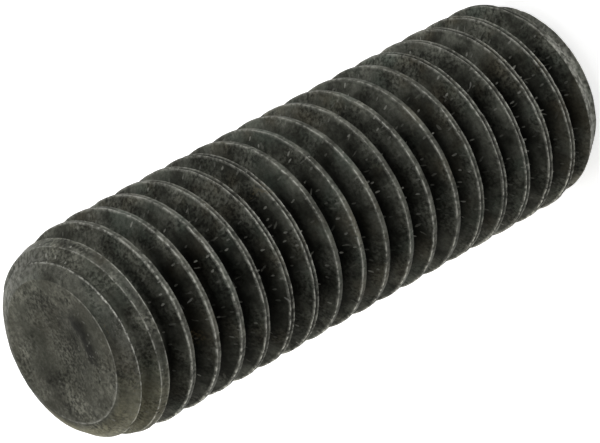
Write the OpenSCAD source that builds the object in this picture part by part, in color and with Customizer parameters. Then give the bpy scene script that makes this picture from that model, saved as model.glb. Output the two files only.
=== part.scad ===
// Headless adjusting bolt: a fully threaded grub screw with a flat point and a hexagon socket.
// It stands on its socket end, with its axis on +Z and the point upwards.

/* [Thread] */
// Diameter over the crests of the rolled M10 thread
crest_d = 9.75; // [9:0.01:11]
// Axial distance from one crest to the next
pitch = 1.5; // [1:0.05:1.75]

/* [Body] */
// Length from the socket end to the point
length = 29.65; // [20:0.05:60]

/* [Point end] */
// Diameter at which the chamfer meets the flat point, before the edge is rounded
point_d = 7.2; // [5.5:0.1:8]
// Angle of the point's chamfer from the axis
point_chamfer_angle = 45; // [30:1:60]
// Radius of the edge between the point and its chamfer
point_edge_r = 0.5; // [0.1:0.05:0.8]
// Diameter of the shallow dish in the point
dish_d = 4.4; // [2:0.1:4.8]
// Depth of the dish at its middle
dish_depth = 0.22; // [0.1:0.01:0.4]

/* [Socket end] */
// Diameter at which the chamfer meets the ring the bolt stands on, before the edge is rounded
ring_d = 8.1; // [7.6:0.1:9]
// Angle of the socket end's chamfer from the axis
ring_chamfer_angle = 35; // [20:1:60]
// Radius of the edge between the ring and its chamfer
ring_edge_r = 0.2; // [0.1:0.05:0.5]
// Width of the hexagon socket across its flats
socket_af = 5; // [3:0.1:5.2]
// Depth of the full hexagon
socket_depth = 6; // [3:0.1:10]
// Full angle of the cone at the bottom of the socket
socket_cone_angle = 120; // [90:1:140]
// Diameter of the countersink at the socket's mouth
mouth_d = 6.1; // [6.1:0.1:7]
// Full angle of that countersink
mouth_angle = 120; // [80:1:130]

/* [Hidden] */
$fn = 96;

// ISO metric profile: a 60 degree triangle, cut off at the crest and rounded at the root
flank_angle = 30;
triangle_h = pitch / 2 / tan(flank_angle);
crest_r = crest_d / 2;
crest_flat = pitch / 8;
root_r = triangle_h / 6;
root_centre = crest_r - triangle_h * 7 / 8 + root_r / sin(flank_angle);
root_turn = 90 - flank_angle;

// Axial position and radius of each corner of one turn, from crest to next crest
profile = concat(
    [[-crest_flat / 2, crest_r], [crest_flat / 2, crest_r]],
    [for (a = [-root_turn : root_turn * 2 / 3 : root_turn])
        [pitch / 2 + root_r * sin(a), root_centre - root_r * cos(a)]]
);
corners = len(profile);

// The swept thread runs past both ends of the bolt, which are then cut to shape
steps_per_turn = 36;
turns = ceil(length / pitch) + 2;
steps = turns * steps_per_turn;
cut_past = 1;

// Corners of a rounded edge between a flat end and its chamfer, from the flat outwards
function end_edge(face_d, angle, edge_r) = [
    for (a = [90 : (angle - 90) / 4 : angle])
        [face_d / 2 - edge_r * tan((90 - angle) / 2) + edge_r * cos(a), edge_r * (sin(a) - 1)]
];

// Axial length a chamfer needs to run clear of the crests
function chamfer_run(face_d, angle) = (crest_r + cut_past - face_d / 2) / tan(angle);

// Index of a corner of the swept thread: the corner after a turn's last is the next turn's first
function at(step, corner) =
    corner < corners ? step * corners + corner : (step + steps_per_turn) * corners;

function thread_points() = concat(
    [for (i = [0 : steps], c = profile)
        let (a = 360 * i / steps_per_turn)
        [c[1] * cos(a), c[1] * sin(a), c[0] + pitch * (i / steps_per_turn - 1)]],
    [[0, 0, -pitch / 2], [0, 0, pitch * (turns - 1)]]
);

function thread_faces() = let (
    first = (steps + 1) * corners,
    last = first + 1,
    top = steps - steps_per_turn
) concat(
    [for (i = [0 : steps - 1], j = [0 : corners - 1])
        if (j < corners - 1 || i < top) [at(i, j), at(i, j + 1), at(i + 1, j + 1)]],
    [for (i = [0 : steps - 1], j = [0 : corners - 1])
        if (j < corners - 1 || i < top) [at(i, j), at(i + 1, j + 1), at(i + 1, j)]],
    [for (i = [0 : steps_per_turn - 1]) [first, at(i, 0), at(i + 1, 0)]],
    [for (j = [0 : corners - 1]) [first, at(0, j + 1), at(0, j)]],
    [for (i = [top : steps - 1]) [last, at(i + 1, corners - 1), at(i, corners - 1)]],
    [for (j = [0 : corners - 2]) [last, at(steps, j), at(steps, j + 1)]],
    [[last, at(top, corners - 1), at(steps, 0)]]
);

module swept_thread() {
    polyhedron(points = thread_points(), faces = thread_faces());
}

// Solid of revolution that gives the two ends their flats, chamfers and rounded edges
module end_form() {
    outer_r = crest_r + cut_past;
    ring_edge = end_edge(ring_d, ring_chamfer_angle, ring_edge_r);
    point_edge = end_edge(point_d, point_chamfer_angle, point_edge_r);
    rotate_extrude()
        polygon(concat(
            [[0, 0]],
            [for (p = ring_edge) [p[0], -p[1]]],
            [[outer_r, chamfer_run(ring_d, ring_chamfer_angle)]],
            [[outer_r, length - chamfer_run(point_d, point_chamfer_angle)]],
            [for (k = [len(point_edge) - 1 : -1 : 0]) [point_edge[k][0], length + point_edge[k][1]]],
            [[0, length]]
        ));
}

module socket() {
    cone_h = socket_af / 2 / tan(socket_cone_angle / 2);
    mouth_h = mouth_d / 2 / tan(mouth_angle / 2);
    translate([0, 0, -cut_past])
        cylinder(h = socket_depth + cut_past, d = socket_af / cos(30), $fn = 6);
    translate([0, 0, socket_depth])
        cylinder(h = cone_h, d1 = socket_af, d2 = 0);
    cylinder(h = mouth_h, d1 = mouth_d, d2 = 0);
}

module dish() {
    ball_r = (pow(dish_d / 2, 2) + pow(dish_depth, 2)) / (2 * dish_depth);
    translate([0, 0, length - dish_depth + ball_r])
        sphere(r = ball_r);
}

module bolt() {
    color([0.2, 0.2, 0.18])
        difference() {
            intersection() {
                swept_thread();
                end_form();
            }
            socket();
            dish();
        }
}

bolt();
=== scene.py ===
import math

import bpy
import numpy as np
from mathutils import Matrix, Vector, noise


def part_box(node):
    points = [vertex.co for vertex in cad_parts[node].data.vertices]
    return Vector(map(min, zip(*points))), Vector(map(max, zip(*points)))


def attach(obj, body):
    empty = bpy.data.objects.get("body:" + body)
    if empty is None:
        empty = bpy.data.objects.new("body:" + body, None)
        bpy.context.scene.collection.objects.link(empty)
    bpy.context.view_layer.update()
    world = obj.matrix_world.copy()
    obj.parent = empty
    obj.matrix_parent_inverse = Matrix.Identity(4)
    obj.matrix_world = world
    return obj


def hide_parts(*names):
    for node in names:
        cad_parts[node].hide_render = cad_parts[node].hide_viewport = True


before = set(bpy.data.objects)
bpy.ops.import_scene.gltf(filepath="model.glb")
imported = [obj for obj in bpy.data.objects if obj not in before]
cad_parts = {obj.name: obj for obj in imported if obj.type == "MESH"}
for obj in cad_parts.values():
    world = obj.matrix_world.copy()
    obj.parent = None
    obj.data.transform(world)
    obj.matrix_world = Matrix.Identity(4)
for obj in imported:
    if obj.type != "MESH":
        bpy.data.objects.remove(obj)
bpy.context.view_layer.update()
low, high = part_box("bolt")

# Sizes of the bolt, in metres
MM = 0.001
LENGTH = high[2] - low[2]
CREST_R = (high[0] - low[0]) / 2
PITCH = 1.5 * MM
FLANK_ANGLE = math.radians(30)
CREST_FLAT = PITCH / 8
TRIANGLE_H = PITCH / 2 / math.tan(FLANK_ANGLE)
ROOT_R = TRIANGLE_H / 6
ROOT_CENTRE = CREST_R - TRIANGLE_H * 7 / 8 + ROOT_R / math.sin(FLANK_ANGLE)
ROOT_EDGE = PITCH / 2 - ROOT_R * math.cos(FLANK_ANGLE)
THREAD_DEPTH = CREST_R - ROOT_CENTRE + ROOT_R

# Each end: radius where the chamfer meets the flat, chamfer angle from the axis, radius of the edge,
# how far the chamfer is off centre, then the radius and angle of the taper behind it
POINT_END = (3.5 * MM, math.radians(58), 0.4 * MM, 0.1 * MM, 4.2 * MM, math.radians(16.7))
RING_END = (4.05 * MM, math.radians(35), 0.2 * MM, -0.08 * MM, 4.7 * MM, math.radians(10))
OFF_CENTRE_AZIMUTH = math.radians(183.6)
SHOULDER = 0.15 * MM
DISH_R = 2.2 * MM
DISH_WALL = 1.6 * MM
DISH_DEPTH = 0.22 * MM
SOCKET_AF = 5.0 * MM
SOCKET_DEPTH = 6.0 * MM
SOCKET_CONE = math.radians(60)
SOCKET_WALL_FROM = 0.6 * MM
MOUTH_R = 3.05 * MM
MOUTH_CONE = math.radians(60)

# Crests as rolled: two rounded lips, with an open seam between them outside the fully formed stretch.
# Each list runs across a land, from its lower edge to its upper one.
LAND_HALF = 0.15 * MM
LIP_OFFSET = np.array([0, 0.03, 0.07]) * MM
DROP_OPEN = np.array([0.05, 0.004, 0.012, 0.07, 0.012, 0, 0.045]) * MM
DROP_CLOSED = np.array([0.06, 0.03, 0.012, 0.003, 0, 0, 0.04]) * MM
DROP_TRIMMED = np.array([0.03, 0, 0.008, 0.012, 0.008, 0, 0.03]) * MM
WEAR_OPEN = np.array([0.3, 0.9, 0.45, 0.1, 0.45, 1, 0.45])
WEAR_CLOSED = np.array([0.05, 0.1, 0.14, 0.18, 0.3, 1, 0.35])
WEAR_NEAR = np.array([0.14, 0.22, 0.3, 0.42, 0.8, 1.2, 0.65])
WEAR_TRIMMED = np.array([0.3, 1, 0.17, 0.08, 0.17, 0.8, 0.3])
FULL_CREST_FROM = 9.0 * MM
FULL_CREST_TO = 17.8 * MM
SEAM_FADE = 0.8 * MM
NEAR_CREST_FROM = 20.5 * MM
NEAR_SEAM = 0.4

# Lands that an end trims: extra width over which they take their own form, share of a seam that they show,
# depth of the next valley at which their edge is fully sharp, and halvings in the search for that edge
TRIM_FADE = 0.04 * MM
TRIMMED_GAP = 0.35
SHARP_DEPTH = 0.1 * MM
HALVINGS = 40

# Wear of the rim round the point's face, from its edge inwards
RIM_INSET = np.array([0, 0.03, 0.07, 0.12]) * MM
RIM_WEAR = np.array([0, 0.42, 0.3, 0])

# Unevenness of the steel: depth and breadth of its waves, nicks and dents
WAVE_DEPTH = 0.012 * MM
WAVE_GRAIN = 1.1 * MM
NICK_DEPTH = 0.06 * MM
NICK_GRAIN = 0.4 * MM
NICK_RANGE = (0.3, 0.7)
WANDER = 0.022 * MM
WANDER_GRAIN = 0.7 * MM
FACE_DEPTH = 0.02 * MM
FACE_GRAIN = 0.8 * MM
DISH_WANDER = 0.08
DISH_GRAIN = 1.6 * MM

# Colours of the steel's finish. The end's darkest colour serves both its stains and painted shade on the
# point, the bare steel colour both the lips' wear and painted highlights and light, and the greenish-brown
# colour paints light bounced up from below
DARK_OXIDE = (0.037, 0.038, 0.031, 1)
LIGHT_OXIDE = (0.11, 0.113, 0.094, 1)
BROWN_OXIDE = (0.098, 0.086, 0.06, 1)
GREEN_OXIDE = (0.078, 0.091, 0.075, 1)
END_OXIDE = (0.083, 0.082, 0.065, 1)
END_PALE = (0.14, 0.139, 0.113, 1)
END_STAIN_AND_SHADE = (0.014, 0.014, 0.011, 1)
OLIVE_BOUNCE_LIGHT = (0.24, 0.23, 0.158, 1)
WORN_STEEL_AND_HIGHLIGHT = (0.35, 0.35, 0.312, 1)
SEAM_BLACK = (0.015, 0.015, 0.013, 1)
GRIT = (0.26, 0.26, 0.23, 1)
RUST = (0.11, 0.085, 0.045, 1)
DUST = (0.4, 0.4, 0.37, 1)
SCRATCH = (0.15, 0.15, 0.13, 1)

# Noises of the finish: lumps to a millimetre, and detail
MOTTLE = (0.9, 6)
GRAIN = (7, 4)
STREAKS = (1, 4)
STREAK_SHIFT = (0, 0, 3)
STREAK_STRETCH = (2, 2, 0.25)
NOISE_ROUGHNESS = 0.55

# Patches of the finish, each from a noise: a shift in millimetres that keeps it apart from the others,
# lumps to a millimetre, detail, the noise values between which it rises, and its values below and above
BROWN_PATCHES = ((20, 0, 0), 0.4, 4, 0.5, 0.7, 0, 0.5)
GREEN_PATCHES = ((0, 20, 0), 0.45, 4, 0.5, 0.7, 0, 0.7)
END_BLOTCHES = ((0, 0, 9), 0.6, 6, 0.52, 0.66, 0, 0.35)
GRAIN_PATCHES = ((0, 0, 30), 0.6, 3, 0.44, 0.58, 0.35, 1)
LIP_BREAKS = ((0, 0, 0), 5, 6, 0.37, 0.63, 0.2, 1.25)
SEAM_DOTS = ((0, 0, 50), 5, 3, 0.4, 0.6, 0.6, 1)
CLUSTERS = ((40, 0, 0), 0.7, 3, 0.48, 0.6, 0.25, 1)

# Ranges of a noise or a mark between which a tone rises, and its values below and above, if not 0 and 1
MOTTLE_LIGHT = (0.36, 0.64)
PALE_MOTTLE = (0.42, 0.66)
PALE_GRAIN = (0.35, 0.65)
END_COLOUR = (0, 1, 0, 0.8)
GRAIN_SHADE = (0.32, 0.68, 0.45, 1.5)
STREAK_SHADE = (0.3, 0.7, 0.8, 1.2)
# Painted shade in the thread's valleys, darkest at the root
VALLEY_PAINTED_SHADE = (0, 0.95, 0.05, 1.15)
OFF_FACE = (0, 1, 1, 0.3)
RUST_GRAIN = (0.45, 0.65, 0, 0.6)
ROUGHNESS = (0.3, 0.7, 0.6, 0.42)

# Specks: shift in millimetres, turn in degrees, cells to a millimetre, size in cells, share of the cells
PITS = ((5, 3, 0), 15, 3, 0.25, 0.4)
GRIT_SPECKS = ((1, 8, 0), 40, 2.6, 0.14, 0.5)
RUST_SPECKS = ((9, 2, 0), 70, 0.5, 0.25, 0.2)
SPECK_CORE = 0.6
SPECK_FADE = 0.05

# Scratches and fibres: their directions in degrees, with the length and width of their cells in
# millimetres, then their size in cells and the share of the cells that has one.
# Layers are kept apart by a shift: as many millimetres as degrees, and a part of that the other way.
SCRATCHES = ((12, 2.4, 0.45), (48, 1.7, 0.45), (-25, 2.2, 0.5), (-60, 1.4, 0.45))
SCRATCH_SIZE = 0.075
SCRATCH_SHARE = 0.4
FIBRES = ((28, 2.6, 0.75), (-35, 2.4, 0.7), (62, 1.8, 0.75))
FIBRE_SIZE = 0.05
FIBRE_SHARE = 0.09
FLECK_SHIFT_PART = 7

# Strength of the small marks on the steel, and its shine and grain
SCRATCH_STRENGTH = 0.7
PIT_STRENGTH = 0.6
DUST_STRENGTH = 0.75
SKIN_WANDER = 0.12
SKIN_LUMPS = 3
WORN_METAL = 0.6
SPECULAR = 0.015
BUMP_STRENGTH = 0.5
BUMP_DISTANCE = 0.03 * MM

# Sides of the bolt that take a tone: azimuth, and the cosines where the tone starts and is full.
# The top side takes painted light in its valleys and painted shade on its lips, the shaded side painted
# shade in its valleys, the edge side a painted highlight, the rim side the rim's wear, the crescent side
# painted shade in the point's hollow, and the bounce and low sides painted light bounced up from below
TOP_SIDE = (math.radians(340), 0.5, 0.95)
PAINTED_SHADE_SIDE = (math.radians(266), 0.78, 0.97)
EDGE_HIGHLIGHT_SIDE = (math.radians(38), 0.4, 0.9)
RIM_SIDE = (math.radians(223), -0.5, 0.5)
CRESCENT_SHADE_SIDE = (math.radians(270), 0.6, 0.96)
BOUNCE_SIDE = (math.radians(158), 0.72, 0.95)
LOW_SIDE = (math.radians(180), 0.3, 0.95)

# Depths below the point at which a tone starts and is full
PAINTED_SHADE_STARTS = (8 * PITCH, 5 * PITCH)
PAINTED_SHADE_STOPS = (2.5 * PITCH, 1.5 * PITCH)
POINT_LIGHT_STARTS = (2 * PITCH, PITCH)
END_STARTS = (3 * PITCH, PITCH)
LAND_STARTS = (PITCH, PITCH / 2)
EDGE_HIGHLIGHT_STARTS = (1.4 * MM, 0.9 * MM)
LOW_STARTS = (2.2 * PITCH, 0.8 * PITCH)
CHAMFER_STARTS = (0.7 * MM, 0.5 * MM)

# Painted light and shade on the thread: painted light gives the valleys this share of the crests'
# colour on the top side and near the point, painted shade takes this share off the lips' brightness
# on the top side and darkens the valleys on one side by this share, and a painted highlight lies on
# the point's edge with this strength
TOP_PAINTED_LIGHT = 0.64
TOP_LIP_PAINTED_SHADE = 0.42
POINT_PAINTED_LIGHT = 0.8
NEAR_PAINTED_SHADE = 0.25
EDGE_PAINTED_HIGHLIGHT = 0.3

# How much of the finish of the point's face its chamfer and the turns next to it have
CHAMFER_SHARE = 0.4
NEAR_SHARE = 0.38

# Band next to the ring, where the lamps hardly reach: the heights between which it fades out, the
# painted light that lifts its valleys and brightens its lips, the wear of its trimmed lands, and the
# share of the painted light that the top side loses
RING_BAND = (0.8 * MM, 1.3 * MM)
RING_PAINTED_LIGHT = 0.9
RING_LIP_PAINTED_LIGHT = 0.6
RING_WEAR = 0.85
RING_TOP_LIGHT_CUT = 0.5

# Marks on the point: painted shade as a dark crescent on the wall of its hollow and over one side of the
# hollow, stains as dark blotches across from it, a darker band round its chamfer, and painted light
# bounced up from below as a greenish-brown patch low on the chamfer and the turns next to it
CRESCENT_R = 1.9 * MM
CRESCENT_HALF = 0.48 * MM
END_MARK_GRAIN = 0.35 * MM
END_MARK_ROUGHNESS = 0.5
BLOTCH = (1.85 * MM, math.radians(126))
LOW_BLOTCH = (2.05 * MM, math.radians(199))
BLOTCH_HALF = 0.75 * MM
BLOTCH_STAIN = 0.8
LOW_BLOTCH_SHARE = 0.5
HOLLOW_EDGE = (1.7 * MM, 2.4 * MM)
HOLLOW_ACROSS = (-1.2 * MM, 0.6 * MM)
HOLLOW_AZIMUTH = CRESCENT_SHADE_SIDE[0] - 0.6
HOLLOW_PAINTED_SHADE = 0.4
CHAMFER_EDGE = (3.4 * MM, 3.55 * MM)
CHAMFER_DARKENING = 0.4
BOUNCE_FROM = (3.5 * MM, 3.7 * MM)
CHAMFER_PAINTED_BOUNCE = 0.95
LOW_PAINTED_BOUNCE = 0.55

# Marks that the mesh carries for its finish and for its painted light and shade
MARKS = ("lip", "gap", "height", "end", "face", "stain_and_shade", "painted_bounce")

# Mesh density: columns round the axis, stops across one turn of the thread, and rings of the two ends
COLUMNS = 180
ROOT_STOPS = np.linspace(0, 1, 4)
FLANK_STOPS = np.array([0, 0.3, 0.6, 0.85, 0.96, 1])
LIPS = len(LIP_OFFSET)
LAND_FIRST = len(ROOT_STOPS) + len(FLANK_STOPS) - 2
LAND_MIDDLE = LAND_FIRST + LIPS
ON_LAND = slice(LAND_FIRST, LAND_MIDDLE + LIPS + 1)
FACE_RINGS = 9
DISH_RINGS = 20
CONE_RINGS = 6
WALL_RINGS = 8
MOUTH_RINGS = 4
STAND_RINGS = 5

# Points this near are one point, and edges with a larger angle than this are shaded sharp
WELD = 1e-4 * MM
SHARP_ANGLE = math.radians(35)

# Camera fitted to the photograph: the bolt's point is nearest, at the lower left
LENS_MM = 399.4
SENSOR_MM = 36
CLIP_START = 10 * MM
CAMERA_AZIMUTH = math.radians(93.63)
CAMERA_ELEVATION = math.radians(37.17)
CAMERA_ROLL = math.radians(-118.72)
CAMERA_DISTANCE = 293.48 * MM
AIM_HEIGHT = 15.066 * MM
AIM_RIGHT = 0.026 * MM
AIM_UP = -0.086 * MM

# Lamps: name, azimuth and elevation in degrees, strength, colour
LAMP_DISTANCE = 150 * MM
LAMP_SIZE = 120 * MM
LAMPS = (
    ("point_side", 0, 80, 0.3, (1, 1, 1)),
    ("upper_right", 315, 8, 0.42, (1, 1, 1)),
    ("upper_back", 0, 35, 0.15, (1, 1, 1)),
    ("upper_left", 45, 8, 0.32, (1, 1, 1)),
    ("left_back", 90, 35, 0.36, (1, 1, 1)),
    ("table_bounce", 135, 8, 0.57, (1, 0.98, 0.9)),
    ("front", 270, 8, 0.2, (1, 1, 1)),
)
WORLD_LIGHT = 0.02

# Floor: half its side in metres, its finish, and the share of white that it shows by itself
FLOOR_HALF = 2.0
FLOOR_COLOUR = (0.8, 0.8, 0.8, 1)
FLOOR_ROUGHNESS = 0.9
FLOOR_GLOW = 0.68
WHITE = (1, 1, 1, 1)


def smooth_step(value, start, end):
    """0 before start and 1 after end, with a smooth rise between them."""
    share = np.clip((value - start) / (end - start), 0, 1)
    return share * share * (3 - 2 * share)


def facing(angle, side):
    """1 where the bolt faces a side, falling smoothly to 0 away from it."""
    azimuth, start, end = side
    return smooth_step(np.cos(angle - azimuth), start, end)


def towards_point(z, depths):
    """0 further below the point than the first depth, and 1 nearer to it than the second."""
    return smooth_step(z, LENGTH - depths[0], LENGTH - depths[1])


def uneven(points, grain):
    """Smooth noise from about -1 to 1 at each point, with lumps about one grain across."""
    values = [noise.noise(Vector(point) / grain) for point in points.reshape(-1, 3)]
    return np.array(values).reshape(points.shape[:-1])


def column_angles():
    """Azimuth of each column round the axis."""
    return np.arange(COLUMNS) * 2 * math.pi / COLUMNS


def around(z, r):
    """Points at heights z and radii r, one row for each column round the axis."""
    angle = column_angles()[:, None]
    return np.stack([r * np.cos(angle), r * np.sin(angle), z], axis=-1)


def off_centre(like, end):
    """How much larger an end's chamfer is at each column, because it is off centre."""
    shift = end[3] * np.cos(column_angles() - OFF_CENTRE_AZIMUTH)
    return shift.reshape((-1,) + (1,) * (like.ndim - 1))


def flat_radius(end):
    """Radius of the flat that is left inside an end's rounded edge, if the chamfer were centred."""
    face_r, angle, edge_r = end[:3]
    return face_r - edge_r * math.tan((math.pi / 2 - angle) / 2)


def rounded_least(first, second, softness):
    """The smaller of two values, rounded where they cross."""
    return (first + second - np.sqrt((first - second) ** 2 + softness**2)) / 2


def end_limit(depth, end):
    """Largest radius that an end's rounded edge, chamfer and taper leave at a depth below that end."""
    face_r, angle, edge_r, _, taper_r, taper_angle = end
    cone = face_r + depth * math.tan(angle)
    inside = np.clip(edge_r - depth, 0, edge_r)
    rounded = flat_radius(end) + np.sqrt(edge_r**2 - inside**2)
    chamfer = np.where(depth < edge_r * (1 - math.sin(angle)), rounded, cone) + off_centre(depth, end)
    softness = SHOULDER * smooth_step(depth, 0, edge_r)
    tapered = rounded_least(chamfer, taper_r + depth * math.tan(taper_angle), softness)
    return rounded_least(tapered, CREST_R, softness * (1 - smooth_step(depth, 2 * PITCH, 3 * PITCH)))


def limit(z):
    """Largest radius that the two ends leave at height z."""
    z = np.clip(z, 0, LENGTH)
    return np.minimum(end_limit(LENGTH - z, POINT_END), end_limit(z, RING_END))


def thread_radius(w):
    """Radius of the plain thread at an axial distance w from the middle of a crest."""
    w = np.abs(w)
    flank = CREST_R - (w - CREST_FLAT / 2) / math.tan(FLANK_ANGLE)
    from_root = np.clip(PITCH / 2 - w, -ROOT_R, ROOT_R)
    root = ROOT_CENTRE - np.sqrt(ROOT_R**2 - from_root**2)
    return np.where(w > ROOT_EDGE, root, np.minimum(flank, CREST_R))


def land_edge(crest_z, side):
    """Axial distance from a crest's middle to the edge of its land, wider where an end trims the crest,
    and how sharp that edge is: 0 where the trimmed crest runs into the next one."""
    near = np.full(crest_z.shape, CREST_FLAT / 2)
    far = np.full(crest_z.shape, PITCH / 2)
    trimmed = limit(crest_z + side * near) < CREST_R
    sharp = np.clip((limit(crest_z + side * far) - thread_radius(far)) / SHARP_DEPTH, 0, 1)
    for _ in range(HALVINGS):
        middle = (near + far) / 2
        above = thread_radius(middle) > limit(crest_z + side * middle)
        near = np.where(above, middle, near)
        far = np.where(above, far, middle)
    return np.maximum(np.where(trimmed, near, 0), LAND_HALF), sharp


def between(start, end, stops):
    """Values from start to end at each of the stops, which run from 0 to 1."""
    return start[..., None] + (end - start)[..., None] * stops


def turn_stops(lower, upper):
    """Axial distances of a turn's stops from its crest's middle, given the two edges of its land."""
    lower_base = np.minimum(-ROOT_EDGE, lower)
    upper_base = np.maximum(ROOT_EDGE, upper)
    root = np.full(lower.shape, PITCH / 2)
    lips = np.minimum(LIP_OFFSET, (upper - lower)[..., None] / 2)
    sections = [
        between(-root, lower_base, ROOT_STOPS[:-1]),
        between(lower_base, lower, FLANK_STOPS[:-1]),
        lower[..., None] + lips,
        (lower + upper)[..., None] / 2,
        (upper[..., None] - lips)[..., ::-1],
        between(upper, upper_base, 1 - FLANK_STOPS[::-1])[..., 1:],
        between(upper_base, root, ROOT_STOPS)[..., 1:-1],
    ]
    return np.concatenate(sections, axis=-1)


def near_share(z):
    """1 along the crests near the point, which wear most, and 0 further from it."""
    return smooth_step(z, NEAR_CREST_FROM, NEAR_CREST_FROM + 2 * PITCH)


def seam_share(z):
    """1 where a crest's seam is open, and 0 along the stretch where the crest is fully formed."""
    rises = smooth_step(z, FULL_CREST_FROM - SEAM_FADE, FULL_CREST_FROM)
    falls = smooth_step(z, FULL_CREST_TO, FULL_CREST_TO + SEAM_FADE)
    return 1 - rises + falls * (1 - (1 - NEAR_SEAM) * near_share(z))


def mixed(closed, opened, cut, seam, trimmed):
    """A land's cross-section, from its closed, open and trimmed forms."""
    rolled = closed + (opened - closed) * seam
    return rolled + (cut - rolled) * trimmed


def thread_marks(z, r, seam, trimmed, sharp):
    """Marks of the thread: bare lips, which also carry a painted highlight on the point's edge and painted
    light next to the ring; open seams; height above the root, from which the finish paints shade in the
    valleys, raised by painted light on the top side, near the point and next to the ring, and lowered by
    painted shade on one side; and nearness to the point.
    """
    angle = column_angles()[:, None, None]
    on_top = facing(angle, TOP_SIDE)
    # Painted light next to the ring, where the lamps hardly reach, with less of it on the top side
    ring_light = (1 - smooth_step(z, *RING_BAND)) * (1 - RING_TOP_LIGHT_CUT * on_top)
    land_z = z[..., ON_LAND]

    # Height above the root, from which the finish paints shade in the valleys
    height = np.clip(1 - (np.minimum(limit(z), CREST_R) - r) / THREAD_DEPTH, 0, 1)
    # Painted shade: the valleys on one side, some turns below the point, are darkened further
    dark = facing(angle, PAINTED_SHADE_SIDE) * towards_point(z, PAINTED_SHADE_STARTS) * (1 - towards_point(z, PAINTED_SHADE_STOPS))
    height = height * (1 - NEAR_PAINTED_SHADE * dark)
    height[..., ON_LAND] = 1
    # Painted light: the valleys on the top side and near the point are lifted towards the crests' colour
    painted_light = np.maximum(POINT_PAINTED_LIGHT * towards_point(z, POINT_LIGHT_STARTS), TOP_PAINTED_LIGHT * on_top)
    height = np.maximum(height, np.maximum(painted_light, RING_PAINTED_LIGHT * ring_light))

    lip, gap, end = (np.zeros_like(r) for _ in range(3))
    wear_closed = WEAR_CLOSED + (WEAR_NEAR - WEAR_CLOSED) * near_share(land_z)
    lip[..., ON_LAND] = mixed(wear_closed, WEAR_OPEN, WEAR_TRIMMED, seam, trimmed) * sharp
    # Painted shade dulls the lips on the top side, and painted light brightens the lips next to the ring
    lip = np.where(z >= LENGTH, 0, np.maximum(lip * (1 - TOP_LIP_PAINTED_SHADE * on_top), RING_LIP_PAINTED_LIGHT * ring_light))
    # Painted highlight on the point's edge, on one side
    edge_highlight = EDGE_PAINTED_HIGHLIGHT * facing(angle, EDGE_HIGHLIGHT_SIDE) * towards_point(z, EDGE_HIGHLIGHT_STARTS)
    lip = np.maximum(lip, edge_highlight)
    ring_wear = RING_WEAR * trimmed * (land_z < LENGTH / 2)
    lip[..., ON_LAND] = np.maximum(lip[..., ON_LAND], ring_wear)

    gap[..., LAND_MIDDLE] = np.maximum(seam, TRIMMED_GAP * trimmed)[..., LIPS]
    end[..., ON_LAND] = CHAMFER_SHARE * trimmed * towards_point(land_z, LAND_STARTS)
    end = np.maximum(end, NEAR_SHARE * towards_point(z, END_STARTS))
    return {"lip": lip, "gap": gap, "height": height, "end": end}


def thread_grid():
    """Points and marks of the thread, as columns round the axis by stops up it,
    and the number of stops in one turn."""
    turns = math.ceil(LENGTH / PITCH) + 3
    crest_z = PITCH * (np.arange(COLUMNS)[:, None] / COLUMNS + np.arange(-1, turns - 1))
    below, lower_sharp = land_edge(crest_z, -1)
    upper, upper_sharp = land_edge(crest_z, 1)
    lower = -below
    w = turn_stops(lower, upper)
    z = crest_z[..., None] + w
    land_z = z[..., ON_LAND]
    trimmed = np.clip((upper - lower - 2 * LAND_HALF)[..., None] / TRIM_FADE, 0, 1)
    seam = seam_share(land_z) * (1 - trimmed)
    sharp = np.where(np.arange(-LIPS, LIPS + 1) < 0, lower_sharp[..., None], upper_sharp[..., None])
    drop = mixed(DROP_CLOSED, DROP_OPEN, DROP_TRIMMED, seam, trimmed) * sharp
    r = np.minimum(thread_radius(w), limit(z))
    r[..., ON_LAND] = np.minimum(CREST_R, limit(land_z)) - drop
    r = np.where(z <= 0, flat_radius(RING_END) + off_centre(z, RING_END), r)
    r = np.where(z >= LENGTH, flat_radius(POINT_END) + off_centre(z, POINT_END), r)
    marks = thread_marks(z, r, seam, trimmed, sharp)

    marks = {name: value.reshape(COLUMNS, -1) for name, value in marks.items()}
    z = z.reshape(COLUMNS, -1)
    r = r.reshape(COLUMNS, -1)
    ended = (z <= 0) | (z >= LENGTH)
    z = np.clip(z, 0, LENGTH)
    points = around(z, r)
    waves = WAVE_DEPTH * marks["height"] * uneven(points, WAVE_GRAIN)
    nicks = NICK_DEPTH * marks["lip"] * smooth_step(uneven(points, NICK_GRAIN), *NICK_RANGE)
    wander = WANDER * (marks["lip"] > 0) * uneven(points, WANDER_GRAIN)
    r = r + np.where(ended, 0, waves - nicks)
    z = z + np.where(ended, 0, wander)
    return around(np.clip(z, 0, LENGTH), r), marks, w.shape[-1]


def point_rings():
    """Points of the point's face, from its rounded edge to the middle, with its hollow and its dents,
    and the wear of its rim, which is strongest on one side."""
    outer = flat_radius(POINT_END)
    rim = outer - RIM_INSET
    flat_part = np.linspace(rim[-1], DISH_R, FACE_RINGS)
    dish_part = np.linspace(DISH_R, 0, DISH_RINGS)[1:]
    share = np.concatenate([rim[:-1], flat_part, dish_part]) / outer
    share = share * np.ones((COLUMNS, 1))
    wear = np.zeros_like(share)
    wear[:, :len(RIM_WEAR)] = RIM_WEAR * facing(column_angles(), RIM_SIDE)[:, None]
    radius = share * (outer + off_centre(share, POINT_END))
    flat = around(np.full_like(radius, LENGTH), radius)
    reach = DISH_R * (1 + DISH_WANDER * uneven(flat, DISH_GRAIN))
    sink = DISH_DEPTH * smooth_step(reach - radius, 0, DISH_WALL)
    inside = smooth_step(outer * (1 - share), 0, FACE_GRAIN)
    dents = FACE_DEPTH * inside * (1 + uneven(flat, FACE_GRAIN)) / 2
    return around(LENGTH - sink - dents, radius), wear


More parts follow.
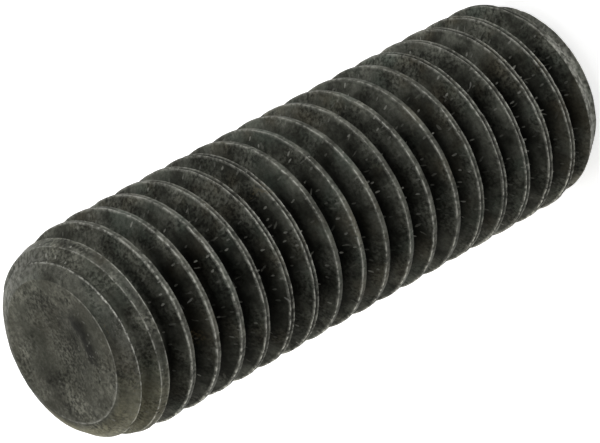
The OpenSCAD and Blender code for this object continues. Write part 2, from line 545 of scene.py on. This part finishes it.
def socket_rings():
    """Points of the socket end, from the tip of its cone to its rounded edge."""
    sixth = math.pi / 3
    hexagon = SOCKET_AF / 2 / np.cos(column_angles() % sixth - sixth / 2)
    whole = np.ones(COLUMNS)
    tip = SOCKET_DEPTH + SOCKET_AF / 2 / math.tan(SOCKET_CONE)
    mouth = (MOUTH_R - hexagon) / math.tan(MOUTH_CONE)
    rings = []
    for share in np.linspace(0, 1, CONE_RINGS):
        rings.append(((tip + (SOCKET_DEPTH - tip) * share) * whole, SOCKET_AF / 2 * share * whole))
    for z in np.linspace(SOCKET_DEPTH, SOCKET_WALL_FROM, WALL_RINGS):
        rings.append((z * whole, hexagon))
    for share in np.linspace(0, 1, MOUTH_RINGS):
        rings.append((mouth * (1 - share), hexagon + (MOUTH_R - hexagon) * share))
    edge = flat_radius(RING_END) + off_centre(whole, RING_END)
    for share in np.linspace(0, 1, STAND_RINGS)[1:]:
        rings.append((0 * whole, MOUTH_R + (edge - MOUTH_R) * share))
    z, r = zip(*rings)
    return around(np.stack(z, axis=1), np.stack(r, axis=1))


def grid_faces(first, stops, shift):
    """Quads of a grid of columns, where the last column joins the first one shift stops further up."""
    faces = []
    for c in range(COLUMNS):
        wraps = c == COLUMNS - 1
        a = first + c * stops
        b = first + (shift if wraps else (c + 1) * stops)
        count = stops - 1 - (shift if wraps else 0)
        for q in range(count):
            faces.append((a + q, b + q, b + q + 1, a + q + 1))
    return faces


def welded(points, faces):
    """Which points to keep so that no two are at one place, and the faces on the kept points."""
    places = np.round(points / WELD)
    _, kept, place = np.unique(places, axis=0, return_index=True, return_inverse=True)
    place = place.reshape(-1)
    closed = []
    for face in faces:
        corners = list(dict.fromkeys(int(place[corner]) for corner in face))
        if len(corners) > 2:
            closed.append(corners)
    return kept, closed


def blotch_share(points, radius, azimuth):
    """1 in the middle of a round blotch on the point's face, fading to 0 round it."""
    across_x = points[:, 0] - radius * math.cos(azimuth)
    across_y = points[:, 1] - radius * math.sin(azimuth)
    return np.exp(-(across_x**2 + across_y**2) / BLOTCH_HALF**2)


def end_stains_and_painted_light(points, end):
    """How dark each point on the point's face and chamfer is made, by stains and by painted shade,
    and how much painted light bounced up from below it takes.
    """
    radius = np.hypot(points[:, 0], points[:, 1])
    angle = np.arctan2(points[:, 1], points[:, 0])
    rough = 1 + END_MARK_ROUGHNESS * uneven(points, END_MARK_GRAIN)
    # Painted shade on the wall of the point's hollow, as a dark crescent
    crescent = np.exp(-(((radius - CRESCENT_R) / CRESCENT_HALF) ** 2)) * facing(angle, CRESCENT_SHADE_SIDE)
    low_blotch = LOW_BLOTCH_SHARE * blotch_share(points, *LOW_BLOTCH)
    blotch = np.maximum(blotch_share(points, *BLOTCH), low_blotch)
    # Painted shade over one side of the hollow
    hollow = 1 - smooth_step(radius, *HOLLOW_EDGE)
    hollow = hollow * smooth_step(radius * np.cos(angle - HOLLOW_AZIMUTH), *HOLLOW_ACROSS)
    dark = np.maximum(np.maximum(crescent, BLOTCH_STAIN * blotch), HOLLOW_PAINTED_SHADE * hollow)
    on_face = (end > CHAMFER_SHARE) * dark

    # Painted light bounced up from below, low on the chamfer
    painted_bounce = facing(angle, BOUNCE_SIDE) * smooth_step(radius, *BOUNCE_FROM)
    on_chamfer = towards_point(points[:, 2], CHAMFER_STARTS)
    # A darker band round the chamfer, away from the painted bounce light
    chamfer = smooth_step(radius, *CHAMFER_EDGE) * (1 - painted_bounce) * on_chamfer
    stain_and_shade = np.maximum(on_face, CHAMFER_DARKENING * chamfer)
    # Painted light bounced up from below, on the low side of the turns next to the point
    low_side = facing(angle, LOW_SIDE) * towards_point(points[:, 2], LOW_STARTS)
    low_side = low_side * (radius > POINT_END[0])
    painted_bounce = np.maximum(CHAMFER_PAINTED_BOUNCE * painted_bounce * on_chamfer, LOW_PAINTED_BOUNCE * low_side)
    return np.clip(stain_and_shade * rough, 0, 1), np.clip(painted_bounce * rough, 0, 1)


def bolt_mesh():
    """The bolt as one closed mesh, welded from its socket end, its thread and its point."""
    thread, marks, turn = thread_grid()
    socket = socket_rings()
    point, rim = point_rings()
    faces = []
    first = 0
    for grid, shift in ((socket, 0), (thread, turn), (point, 0)):
        faces += grid_faces(first, grid.shape[1], shift)
        first += grid[..., 0].size
    points = np.concatenate([grid.reshape(-1, 3) for grid in (socket, thread, point)])
    kept, faces = welded(points, faces)
    points = points[kept]
    mesh = bpy.data.meshes.new("bolt_body")
    mesh.from_pydata(points.tolist(), [], faces)

    no_socket, whole_socket = np.zeros(socket[..., 0].size), np.ones(socket[..., 0].size)
    no_point, whole_point = np.zeros(rim.size), np.ones(rim.size)
    on_socket = {"height": whole_socket}
    on_point = {"height": whole_point, "end": whole_point, "lip": rim.reshape(-1)}
    for name, value in marks.items():
        parts = [on_socket.get(name, no_socket), value.reshape(-1), on_point.get(name, no_point)]
        marks[name] = np.concatenate(parts)[kept]
    marks["face"] = (points[:, 2] > LENGTH - DISH_DEPTH - FACE_DEPTH).astype(float) * marks["end"]
    marks["stain_and_shade"], marks["painted_bounce"] = end_stains_and_painted_light(points, marks["end"])
    for name in MARKS:
        data = mesh.attributes.new(name, "FLOAT", "POINT").data
        data.foreach_set("value", marks[name].astype(np.float32))
    mesh.polygons.foreach_set("use_smooth", np.ones(len(mesh.polygons), dtype=bool))
    mesh.set_sharp_from_angle(angle=SHARP_ANGLE)
    mesh.update()
    return mesh


def add_node(tree, kind, settings, inputs):
    """A shader node with its settings, each named input linked to a socket or set to a value."""
    node = tree.nodes.new(kind)
    for name, value in settings.items():
        setattr(node, name, value)
    for name, value in inputs.items():
        if isinstance(value, bpy.types.NodeSocket):
            tree.links.new(value, node.inputs[name])
        else:
            node.inputs[name].default_value = value
    return node


def worked_out(tree, operation, first, second):
    """The result of a Math node on two values."""
    return add_node(tree, "ShaderNodeMath", {"operation": operation}, {0: first, 1: second}).outputs[0]


def product(tree, first, second):
    return worked_out(tree, "MULTIPLY", first, second)


def larger(tree, first, second):
    return worked_out(tree, "MAXIMUM", first, second)


def lumps(tree, place, scale, detail):
    """Noise from 0 to 1 with about this many lumps to a millimetre."""
    inputs = {"Vector": place, "Scale": scale, "Detail": detail, "Roughness": NOISE_ROUGHNESS}
    return add_node(tree, "ShaderNodeTexNoise", {}, inputs).outputs[0]


def lumps_colour(tree, place, scale):
    """A like noise as three values, about 0.5 each, to disturb a place with."""
    return add_node(tree, "ShaderNodeTexNoise", {}, {"Vector": place, "Scale": scale}).outputs[1]


def ranged(tree, value, start, end, low_value=0.0, high_value=1.0):
    """The value carried from start..end to low_value..high_value, smoothly and within them."""
    inputs = {0: value, 1: start, 2: end, 3: low_value, 4: high_value}
    return add_node(tree, "ShaderNodeMapRange", {"interpolation_type": "SMOOTHSTEP"}, inputs).outputs[0]


def blend(tree, amount, first, second, kind="MIX"):
    """The second colour over the first by an amount."""
    settings = {"data_type": "RGBA", "blend_type": kind}
    return add_node(tree, "ShaderNodeMix", settings, {0: amount, 6: first, 7: second}).outputs[2]


def shaded(tree, colour, value):
    """The colour times a value."""
    return blend(tree, 1.0, colour, value, "MULTIPLY")


def mark(tree, name):
    """One of the marks that the mesh carries at each point."""
    return add_node(tree, "ShaderNodeAttribute", {"attribute_name": name}, {}).outputs["Fac"]


def moved(tree, place, shift, turn=0, stretch=(1, 1, 1)):
    """The place seen from a point shifted by millimetres, turned by degrees round Z and stretched."""
    rotation = (0, 0, math.radians(turn))
    inputs = {"Vector": place, "Location": shift, "Rotation": rotation, "Scale": stretch}
    return add_node(tree, "ShaderNodeMapping", {"vector_type": "TEXTURE"}, inputs).outputs[0]


def patches(tree, place, look):
    """Patches of the finish, from one of the lists of their values."""
    shift, scale, detail = look[:3]
    return ranged(tree, lumps(tree, moved(tree, place, shift), scale, detail), *look[3:])


def surface_place(tree, place, face):
    """Places in millimetres along the surface: round the axis and up it, or across the point's face."""
    axes = add_node(tree, "ShaderNodeSeparateXYZ", {}, {0: place}).outputs
    angle = worked_out(tree, "ARCTAN2", axes[1], axes[0])
    along = product(tree, angle, CREST_R / MM)
    wrapped = add_node(tree, "ShaderNodeCombineXYZ", {}, {0: along, 1: axes[2]}).outputs[0]
    flat = add_node(tree, "ShaderNodeCombineXYZ", {}, {0: axes[0], 1: axes[1]}).outputs[0]
    inputs = {0: face, 4: wrapped, 5: flat}
    return add_node(tree, "ShaderNodeMix", {"data_type": "VECTOR"}, inputs).outputs[1]


def spots(tree, place, scale, size, share):
    """1 in small spots about size cells across, in this share of the cells, and 0 elsewhere."""
    settings = {"voronoi_dimensions": "2D"}
    cells = add_node(tree, "ShaderNodeTexVoronoi", settings, {"Vector": place, "Scale": scale})
    near = ranged(tree, cells.outputs["Distance"], size, size * SPECK_CORE)
    chosen = ranged(tree, cells.outputs["Color"], 1 - share, 1 - share + SPECK_FADE)
    return product(tree, near, chosen)


def specks(tree, place, look):
    """Spots of one kind, from one of the lists of their values."""
    shift, turn, scale, size, share = look
    return spots(tree, moved(tree, place, shift, turn), scale, size, share)


def flecks(tree, place, layers, size, share):
    """Thin flecks in several directions: each layer gives an angle, and the cells' length and width."""
    total = None
    for angle, length, width in layers:
        turned = moved(tree, place, (angle, angle / FLECK_SHIFT_PART, 0), angle, (length, width, 1))
        layer = spots(tree, turned, 1, size, share)
        total = layer if total is None else larger(tree, total, layer)
    return total


def steel_material():
    """Blackened steel: mottled charcoal, bare on the crests' lips, with dust, fibres and scratches, with
    painted light and shade in the thread's valleys, painted shade in the point's hollow, a painted
    highlight on the point's edge, and painted light bounced up from below.
    """
    material = bpy.data.materials.new("blackened_steel")
    material.use_nodes = True
    tree = material.node_tree
    shader = tree.nodes["Principled BSDF"]
    coordinates = add_node(tree, "ShaderNodeTexCoord", {}, {})
    inputs = {0: coordinates.outputs["Object"], "Scale": 1 / MM}
    place = add_node(tree, "ShaderNodeVectorMath", {"operation": "SCALE"}, inputs).outputs[0]
    lip, gap, height, end, face, stain_and_shade, painted_bounce = (mark(tree, name) for name in MARKS)
    skin = surface_place(tree, place, face)
    mottle = lumps(tree, place, *MOTTLE)
    grain = lumps(tree, place, *GRAIN)
    streaks = lumps(tree, moved(tree, place, STREAK_SHIFT, 0, STREAK_STRETCH), *STREAKS)

    # Oxide, with the point's paler finish, its stains and painted shade, and painted bounce light from
    # below
    colour = blend(tree, ranged(tree, mottle, *MOTTLE_LIGHT), DARK_OXIDE, LIGHT_OXIDE)
    colour = blend(tree, patches(tree, place, BROWN_PATCHES), colour, BROWN_OXIDE)
    colour = blend(tree, patches(tree, place, GREEN_PATCHES), colour, GREEN_OXIDE)
    colour = blend(tree, ranged(tree, end, *END_COLOUR), colour, END_OXIDE)
    pale = product(tree, ranged(tree, mottle, *PALE_MOTTLE), ranged(tree, grain, *PALE_GRAIN))
    colour = blend(tree, product(tree, end, pale), colour, END_PALE)
    colour = blend(tree, product(tree, end, patches(tree, place, END_BLOTCHES)), colour, END_STAIN_AND_SHADE)
    # Stains and painted shade on the point, then painted light bounced up from below
    colour = blend(tree, stain_and_shade, colour, END_STAIN_AND_SHADE)
    colour = blend(tree, painted_bounce, colour, OLIVE_BOUNCE_LIGHT)

    # Grain and streaks, and painted shade in the thread's valleys
    patchy = patches(tree, place, GRAIN_PATCHES)
    colour = blend(tree, patchy, colour, shaded(tree, colour, ranged(tree, grain, *GRAIN_SHADE)))
    colour = shaded(tree, colour, ranged(tree, streaks, *STREAK_SHADE))
    # Painted shade: darker towards the roots of the valleys
    colour = shaded(tree, colour, ranged(tree, height, *VALLEY_PAINTED_SHADE))

    # Bare lips, which also carry a painted highlight on the point's edge and painted light next to the
    # ring, and the seams between them
    wear_and_highlight = product(tree, lip, patches(tree, place, LIP_BREAKS))
    colour = blend(tree, wear_and_highlight, colour, WORN_STEEL_AND_HIGHLIGHT)
    colour = blend(tree, product(tree, gap, patches(tree, place, SEAM_DOTS)), colour, SEAM_BLACK)

    # Scratches, pits, grit, rust and dust
    rough_skin = blend(tree, SKIN_WANDER, skin, lumps_colour(tree, place, SKIN_LUMPS))
    cluster = patches(tree, place, CLUSTERS)
    scratches = flecks(tree, rough_skin, SCRATCHES, SCRATCH_SIZE, SCRATCH_SHARE)
    scratches = product(tree, scratches, product(tree, cluster, SCRATCH_STRENGTH))
    colour = blend(tree, scratches, colour, SCRATCH)
    pits = product(tree, specks(tree, rough_skin, PITS), product(tree, patchy, PIT_STRENGTH))
    colour = blend(tree, pits, colour, SEAM_BLACK)
    gritty = product(tree, cluster, ranged(tree, face, *OFF_FACE))
    colour = blend(tree, product(tree, specks(tree, rough_skin, GRIT_SPECKS), gritty), colour, GRIT)
    rusty = ranged(tree, grain, *RUST_GRAIN)
    colour = blend(tree, product(tree, specks(tree, rough_skin, RUST_SPECKS), rusty), colour, RUST)
    dust = flecks(tree, rough_skin, FIBRES, FIBRE_SIZE, FIBRE_SHARE)
    colour = blend(tree, product(tree, dust, DUST_STRENGTH), colour, DUST)
    tree.links.new(colour, shader.inputs["Base Color"])

    # Shine, and fine bumps
    shader.inputs["Specular IOR Level"].default_value = SPECULAR
    tree.links.new(product(tree, wear_and_highlight, WORN_METAL), shader.inputs["Metallic"])
    tree.links.new(ranged(tree, mottle, *ROUGHNESS), shader.inputs["Roughness"])
    inputs = {"Strength": BUMP_STRENGTH, "Distance": BUMP_DISTANCE, "Height": grain}
    bump = add_node(tree, "ShaderNodeBump", {}, inputs)
    tree.links.new(bump.outputs[0], shader.inputs["Normal"])
    return material


def add_bolt():
    mesh = bolt_mesh()
    mesh.materials.append(steel_material())
    bolt = bpy.data.objects.new("bolt_body", mesh)
    bpy.context.scene.collection.objects.link(bolt)
    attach(bolt, "root")
    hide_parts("bolt")


def camera_axes():
    """The camera's right, up and forward directions."""
    forward = Vector((
        math.cos(CAMERA_ELEVATION) * math.cos(CAMERA_AZIMUTH),
        math.cos(CAMERA_ELEVATION) * math.sin(CAMERA_AZIMUTH),
        -math.sin(CAMERA_ELEVATION),
    ))
    level_right = forward.cross(Vector((0, 0, 1))).normalized()
    level_up = level_right.cross(forward)
    right = level_right * math.cos(CAMERA_ROLL) + level_up * math.sin(CAMERA_ROLL)
    return right, right.cross(forward), forward


def add_camera():
    right, up, forward = camera_axes()
    aim = Vector((0, 0, AIM_HEIGHT)) + right * AIM_RIGHT + up * AIM_UP
    data = bpy.data.cameras.new("camera")
    data.lens = LENS_MM
    data.sensor_width = SENSOR_MM
    data.clip_start = CLIP_START
    camera = bpy.data.objects.new("camera", data)
    axes = Matrix((right, up, -forward)).transposed().to_4x4()
    camera.matrix_world = Matrix.Translation(aim - forward * CAMERA_DISTANCE) @ axes
    bpy.context.scene.collection.objects.link(camera)
    bpy.context.scene.camera = camera


def add_lamp(name, azimuth, elevation, strength, colour):
    """A soft square lamp that looks at the bolt's middle.
    A white card there that faces the lamp has its strength as brightness."""
    middle = Vector((0, 0, LENGTH / 2))
    azimuth, elevation = math.radians(azimuth), math.radians(elevation)
    level = math.cos(elevation)
    way = Vector((level * math.cos(azimuth), level * math.sin(azimuth), math.sin(elevation)))
    data = bpy.data.lights.new(name, "AREA")
    data.shape = "SQUARE"
    data.size = LAMP_SIZE
    data.color = colour
    data.energy = strength * (math.pi * LAMP_DISTANCE) ** 2
    lamp = bpy.data.objects.new(name, data)
    lamp.location = middle + way * LAMP_DISTANCE
    lamp.rotation_euler = (-way).to_track_quat("-Z", "Y").to_euler()
    bpy.context.scene.collection.objects.link(lamp)


def seen_directly(tree):
    """A value of 1 on camera, glossy and transmission rays, and 0 on the rays that carry light."""
    rays = add_node(tree, "ShaderNodeLightPath", {}, {}).outputs
    mirrored = larger(tree, rays["Is Camera Ray"], rays["Is Glossy Ray"])
    return larger(tree, mirrored, rays["Is Transmission Ray"])


def floor_material():
    """White floor: it shows nearly white to the camera, and still takes the bolt's shadow."""
    material = bpy.data.materials.new("white_floor")
    material.use_nodes = True
    tree = material.node_tree
    shader = tree.nodes["Principled BSDF"]
    shader.inputs["Base Color"].default_value = FLOOR_COLOUR
    shader.inputs["Roughness"].default_value = FLOOR_ROUGHNESS
    shader.inputs["Emission Color"].default_value = WHITE
    glow = product(tree, seen_directly(tree), FLOOR_GLOW)
    tree.links.new(glow, shader.inputs["Emission Strength"])
    return material


def add_floor():
    mesh = bpy.data.meshes.new("floor")
    corners = [(x * FLOOR_HALF, y * FLOOR_HALF, 0) for x, y in ((-1, -1), (1, -1), (1, 1), (-1, 1))]
    mesh.from_pydata(corners, [], [(0, 1, 2, 3)])
    mesh.materials.append(floor_material())
    floor = bpy.data.objects.new("floor", mesh)
    bpy.context.scene.collection.objects.link(floor)


def set_world():
    """White where it is seen, and only a faint light."""
    world = bpy.data.worlds.new("studio")
    world.use_nodes = True
    tree = world.node_tree
    background = tree.nodes["Background"]
    background.inputs["Color"].default_value = WHITE
    strength = ranged(tree, seen_directly(tree), 0, 1, WORLD_LIGHT, 1)
    tree.links.new(strength, background.inputs["Strength"])
    bpy.context.scene.world = world


add_bolt()
add_floor()
set_world()
add_camera()
for lamp in LAMPS:
    add_lamp(*lamp)
bpy.context.scene.view_settings.view_transform = "Standard"
